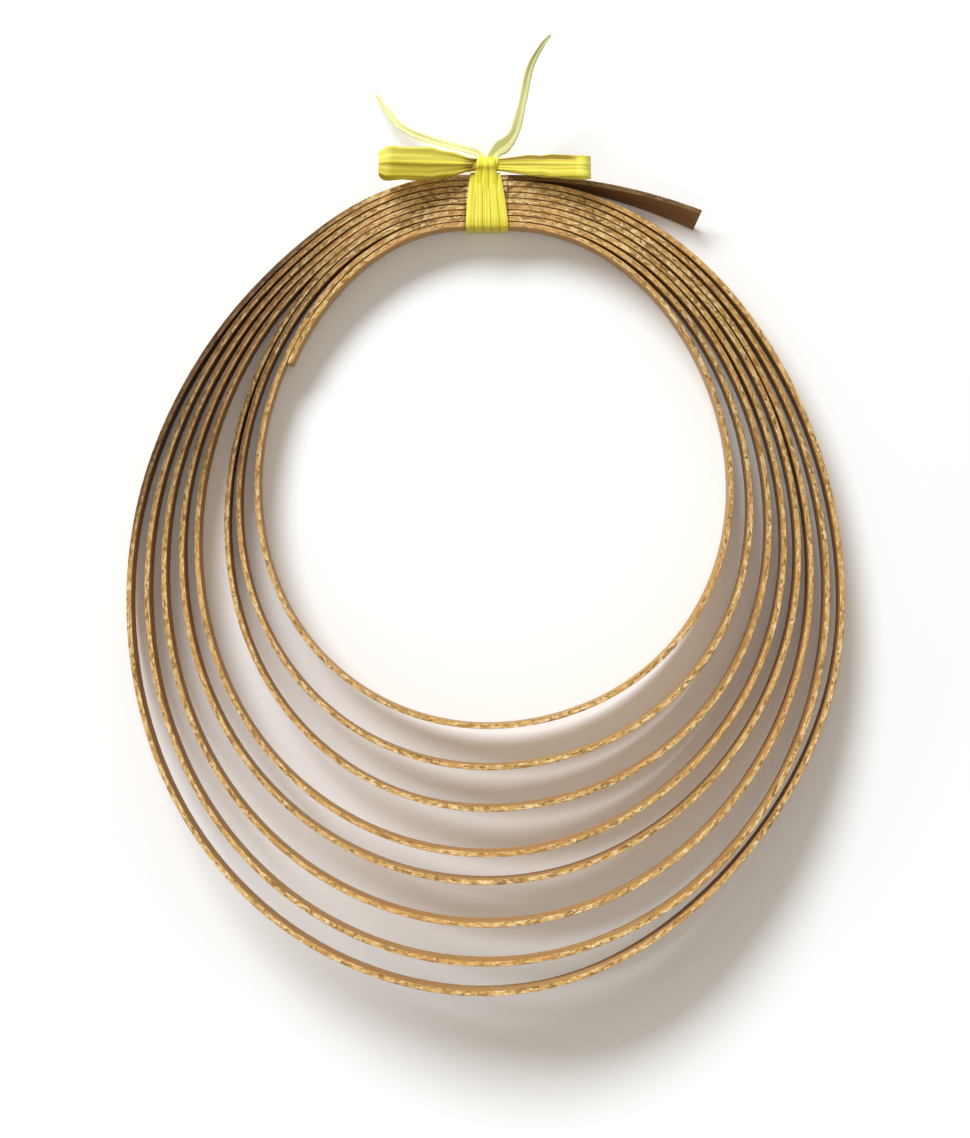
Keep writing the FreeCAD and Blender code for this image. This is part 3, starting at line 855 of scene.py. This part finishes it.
def loop_half_width(outwards, far_half, narrowing):
    """A loop's half width: it spreads soon after the neck and narrows again at its bend."""
    spread = outwards**2.2
    spread = spread * (1 + SPREAD_LATENESS) / (spread + SPREAD_LATENESS)
    half_width = LOOP_NECK_WIDTH / 2 + (far_half - LOOP_NECK_WIDTH / 2) * spread
    return half_width * (1 - narrowing * rising(outwards, 0.9, 1) ** 2)


def bow_loop(side, toward, length, far_radius, narrowing, loop_painted_shade, faded, seed):
    """One loop of the bow: a pleated band bent round at its far end.

    toward is -1 for the left loop and 1 for the right one, and narrowing is how much
    narrower the band is where it bends.  The two colour masks give how much painted shade
    deepens the raffia and how much paler it is, partly as painted light, by the place
    across the band and the share of the way out from the knot.
    """
    node = side + "_bow_loop"
    low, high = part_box(node)
    knot_low, knot_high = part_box("knot")
    line = loop_belt(length, far_radius)
    ahead = unit(np.gradient(line, axis=0))
    outward = np.stack([ahead[:, 2], np.zeros(len(line)), -ahead[:, 0]], axis=1)
    outwards = np.clip((line[:, 0] + LOOP_NECK_RADIUS) / length, 0, 1)
    half_width = loop_half_width(outwards, (high.y - low.y) / 2, narrowing)

    # Sloped, mirrored for the left side, and carried to the knot
    sloped = np.array([[math.cos(LOOP_RISE), 0, -math.sin(LOOP_RISE)], [0, 1, 0],
                       [math.sin(LOOP_RISE), 0, math.cos(LOOP_RISE)]])
    line = (line - outward * RAFFIA_THICKNESS / 2) @ sloped.T
    outward = outward @ sloped.T * (toward, 1, 1)
    knot_side = knot_high.x if toward > 0 else knot_low.x
    line[:, 0] = knot_side + toward * (line[:, 0] + NECK_CLEARANCE + LOOP_NECK_RADIUS)
    neck_y = (knot_low.y + knot_high.y) / 2 - NECK_SAG
    line[:, 1] = neck_y + ((low.y + high.y) / 2 - neck_y) * outwards
    line[:, 2] += (knot_low.z + knot_high.z) / 2 + NECK_HEIGHT
    sideways = np.tile([0.0, float(toward), 0.0], (len(line), 1))
    outwards = outwards[:, None]

    def folds(across):
        # Uneven pleats that drift a little across the band from the knot to the far end
        drift = 0.5 * outwards
        return (0.5 + 0.28 * np.cos(math.pi * (2.1 * across + seed + drift))
                + 0.22 * np.cos(math.pi * (4.6 * across - 0.8 * seed - drift)))

    def lift(along, across):
        # Pleats are deepest near the knot and sink below the band's outer side
        depth = PLEAT_DEPTH * (1 - 0.6 * outwards)
        return -depth * folds(across) * (1 - 0.4 * across**4)

    # The painted shade and the paler marks count the place across from the ring's side, -1, to
    # the far side, 1
    def crease(along, across):
        # Painted shade in the pleats' valleys, with the loop's own painted shade
        pleated = 0.55 * folds(across) ** 2 * (1 - 0.5 * outwards)
        return np.clip(pleated + loop_painted_shade(across * toward, outwards), 0, 1)

    def pale_and_lit(along, across):
        return np.clip(faded(across * toward, outwards), 0, 1)

    piece = ribbon("raffia_" + node, line, outward, sideways, half_width, seed, lift=lift,
                   points_across=27, groove_depth=0.16 * MM, crease=crease, faded=pale_and_lit)
    dress(piece, RAFFIA, node, "raffia", node)


def left_loop_painted_shade(across, outwards):
    """Painted shade: golden on the side of the ring, olive at the knot."""
    return 0.34 * falling(across, -0.2, 0.1) + 0.8 * falling(outwards, 0, 0.16)


def left_loop_painted_light(across, outwards):
    """Painted light: pale along the edge away from the ring."""
    return 0.8 * rising(across, -0.05, 0.45) + 0 * outwards


def right_loop_painted_shade(across, outwards):
    """Painted shade: an olive fold along the edge away from the ring, up to where the band
    flares.
    """
    fold = falling(np.abs(across - 0.72), 0.06, 0.26)
    return fold * falling(outwards, 0.75, 0.9) + 0.12 * (outwards < 0.85)


def right_loop_paler(across, outwards):
    """Pale at the flared far end."""
    return 0.85 * rising(outwards, 0.84, 0.94) + 0 * across


# ---------------------------------------------------------------------------
# The bow's tails
# ---------------------------------------------------------------------------

# The tails' routes in millimetres, from just outside the middle of the knot's outer face
LEFT_TAIL_ROUTE = [
    (-1.6, -1.6, 1.0), (-2.6, 0, 1.0), (-5.2, 1.6, 1.0), (-10.5, 3.2, 0.7), (-23.0, 6.9, -1.6),
    (-35.0, 12.4, -4.8), (-42.6, 20.2, -7.4), (-47.5, 28.0, -8.6),
]
RIGHT_TAIL_ROUTE = [
    (1.4, -1.6, 1.0), (2.4, 0, 1.0), (4.6, 2.6, 1.5), (8.6, 5.4, 2.8), (12.2, 10.8, 5.2),
    (15.2, 22.0, 10.6), (18.0, 34.0, 17.0), (22.6, 42.0, 21.6), (26.4, 46.0, 24.2),
]
# Their widths in millimetres, by the share of the way out to the tip
LEFT_TAIL_WIDTHS = [(0, 3.2), (0.6, 3.0), (0.9, 2.2), (1, 1.2)]
RIGHT_TAIL_WIDTHS = [(0, 4.2), (0.12, 6.6), (0.26, 4.0), (0.8, 2.8), (1, 1.2)]
TAIL_CLEARANCE = 0.5 * MM
TAIL_LEAN = math.radians(16)
# How high a tail's two rims stand above its fold at the knot, and how deep the fold lies
TAIL_FOLD_HEIGHT = 0.55 * MM
TAIL_FOLD_DEPTH = 0.25 * MM


def tail(side, route, widths, seed):
    """One loose tail: a ribbon folded along its middle, thinning to a frayed tip."""
    node = side + "_tail"
    low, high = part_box("knot")
    start = ((low.x + high.x) / 2, high.y + TAIL_CLEARANCE, (low.z + high.z) / 2)
    line = smooth_path(np.array(route) * MM, count=110) + start
    outward, sideways = level_facing(line)
    share = lengths_along(line) / lengths_along(line)[-1]
    half_width = np.interp(share, *zip(*widths)) * MM / 2
    # The ribbon leans over, first one way and then the other
    lean = TAIL_LEAN * np.sin(share * 2.5 * math.pi + seed)[:, None]
    sideways, outward = (sideways * np.cos(lean) + outward * np.sin(lean),
                         outward * np.cos(lean) - sideways * np.sin(lean))

    def lift(along, across):
        return TAIL_FOLD_HEIGHT * np.abs(across) * (1 - 0.5 * along) - TAIL_FOLD_DEPTH

    piece = ribbon("raffia_" + node, line, outward, sideways, half_width, seed, lift=lift,
                   points_across=9, thickness=TAIL_THICKNESS, groove_depth=0.12 * MM)
    dress(piece, PALE_RAFFIA, node, "raffia", node)


for number in range(1, STRANDS + 1):
    wrap_strand(number)
knot()
bow_loop("left", -1, length=42.0 * MM, far_radius=5.0 * MM, narrowing=0.30,
         loop_painted_shade=left_loop_painted_shade, faded=left_loop_painted_light, seed=81)
bow_loop("right", 1, length=40.0 * MM, far_radius=4.0 * MM, narrowing=0.0,
         loop_painted_shade=right_loop_painted_shade, faded=right_loop_paler, seed=82)
tail("left", LEFT_TAIL_ROUTE, LEFT_TAIL_WIDTHS, 91)
tail("right", RIGHT_TAIL_ROUTE, RIGHT_TAIL_WIDTHS, 92)

# ---------------------------------------------------------------------------
# Floor, light and camera
# ---------------------------------------------------------------------------

FLOOR_REACH = 4.0
# The white table as the light meets it
TABLE_WHITE = (0.84, 0.84, 0.84, 1.0)
# Where the floor starts to fade into the backdrop and where it has faded, and how much it
# glows of its own at those places
FLOOR_FADE = (0.21, 1.0)
FLOOR_GLOW = (0.05, 1.0)

SKY_COLOUR = (1.0, 0.93, 0.82, 1.0)
SKY_STRENGTH = 0.42

# One long soft lamp to the upper left, with its long side level
TOWARDS_LAMP = Vector((-0.437, 0.672, 0.598))
LAMP_DISTANCE = 6.0
LAMP_SIZE = (4.6, 1.84)
LAMP_POWER = 372.0
LAMP_COLOUR = (0.95, 1.0, 1.06)

CAMERA_HEIGHT = 1.0
# Height of the picture at the table
PICTURE_HEIGHT = 0.4899
CAMERA_PLACE = (-0.28 * MM, -22.89 * MM)


def seen_directly(tree):
    """1 for the rays of the camera and of mirror and glass surfaces, 0 for the light's own."""
    path = tree.nodes.new("ShaderNodeLightPath")
    share = path.outputs["Is Camera Ray"]
    for kind in ("Is Glossy Ray", "Is Transmission Ray"):
        either = tree.nodes.new("ShaderNodeMath")
        either.operation = "MAXIMUM"
        tree.links.new(share, either.inputs[0])
        tree.links.new(path.outputs[kind], either.inputs[1])
        share = either.outputs[0]
    return share


def floor_material():
    """A white table, pure white to the camera, to mirrors and through glass.

    Far from the object it fades into the white backdrop.
    """
    table = Nodes("floor")
    seen = seen_directly(table.tree)
    table.feed(table.shader.inputs["Base Color"], table.mix(seen, TABLE_WHITE, WHITE))
    table.shader.inputs["Roughness"].default_value = 0.9
    table.shader.inputs["Specular IOR Level"].default_value = 0.0
    table.shader.inputs["Emission Color"].default_value = WHITE
    distance = table.add("VectorMath", output=1, settings={"operation": "LENGTH"},
                         _0=table.add("NewGeometry"))
    glow = table.level(distance, *FLOOR_GLOW, *FLOOR_FADE)
    table.feed(table.shader.inputs["Emission Strength"], table.sum_of(seen, glow, "MULTIPLY"))
    return table.material


def floor_under_object():
    """The white table, a square far larger than the object."""
    mesh = bpy.data.meshes.new("floor")
    corners = [(-1, -1), (1, -1), (1, 1), (-1, 1)]
    mesh.from_pydata([(x * FLOOR_REACH, y * FLOOR_REACH, 0) for x, y in corners], [],
                     [(0, 1, 2, 3)])
    mesh.materials.append(floor_material())
    floor = bpy.data.objects.new("floor", mesh)
    bpy.context.scene.collection.objects.link(floor)


def studio_world():
    """A warm, even sky, seen as plain white."""
    world = bpy.data.worlds.new("studio")
    world.use_nodes = True
    tree = world.node_tree
    sky = tree.nodes["Background"]
    sky.inputs["Color"].default_value = SKY_COLOUR
    sky.inputs["Strength"].default_value = SKY_STRENGTH
    backdrop = tree.nodes.new("ShaderNodeBackground")
    backdrop.inputs["Color"].default_value = WHITE
    either = tree.nodes.new("ShaderNodeMixShader")
    tree.links.new(seen_directly(tree), either.inputs[0])
    tree.links.new(sky.outputs[0], either.inputs[1])
    tree.links.new(backdrop.outputs[0], either.inputs[2])
    tree.links.new(either.outputs[0], tree.nodes["World Output"].inputs["Surface"])
    bpy.context.scene.world = world


def softbox():
    """The lamp, which faces the coil's middle."""
    lamp = bpy.data.lights.new("softbox", "AREA")
    lamp.shape = "ELLIPSE"
    lamp.size, lamp.size_y = LAMP_SIZE
    lamp.energy = LAMP_POWER
    lamp.color = LAMP_COLOUR
    placed = bpy.data.objects.new("softbox", lamp)
    placed.location = TOWARDS_LAMP * LAMP_DISTANCE
    placed.rotation_euler = TOWARDS_LAMP.to_track_quat("Z", "Y").to_euler()
    bpy.context.scene.collection.objects.link(placed)


def camera():
    """A camera that looks straight down on the table."""
    data = bpy.data.cameras.new("camera")
    data.sensor_fit = "VERTICAL"
    data.angle = 2 * math.atan(PICTURE_HEIGHT / 2 / CAMERA_HEIGHT)
    placed = bpy.data.objects.new("camera", data)
    placed.location = (*CAMERA_PLACE, CAMERA_HEIGHT)
    bpy.context.scene.collection.objects.link(placed)
    bpy.context.scene.camera = placed


floor_under_object()
studio_world()
softbox()
camera()
bpy.context.scene.view_settings.view_transform = "Standard"
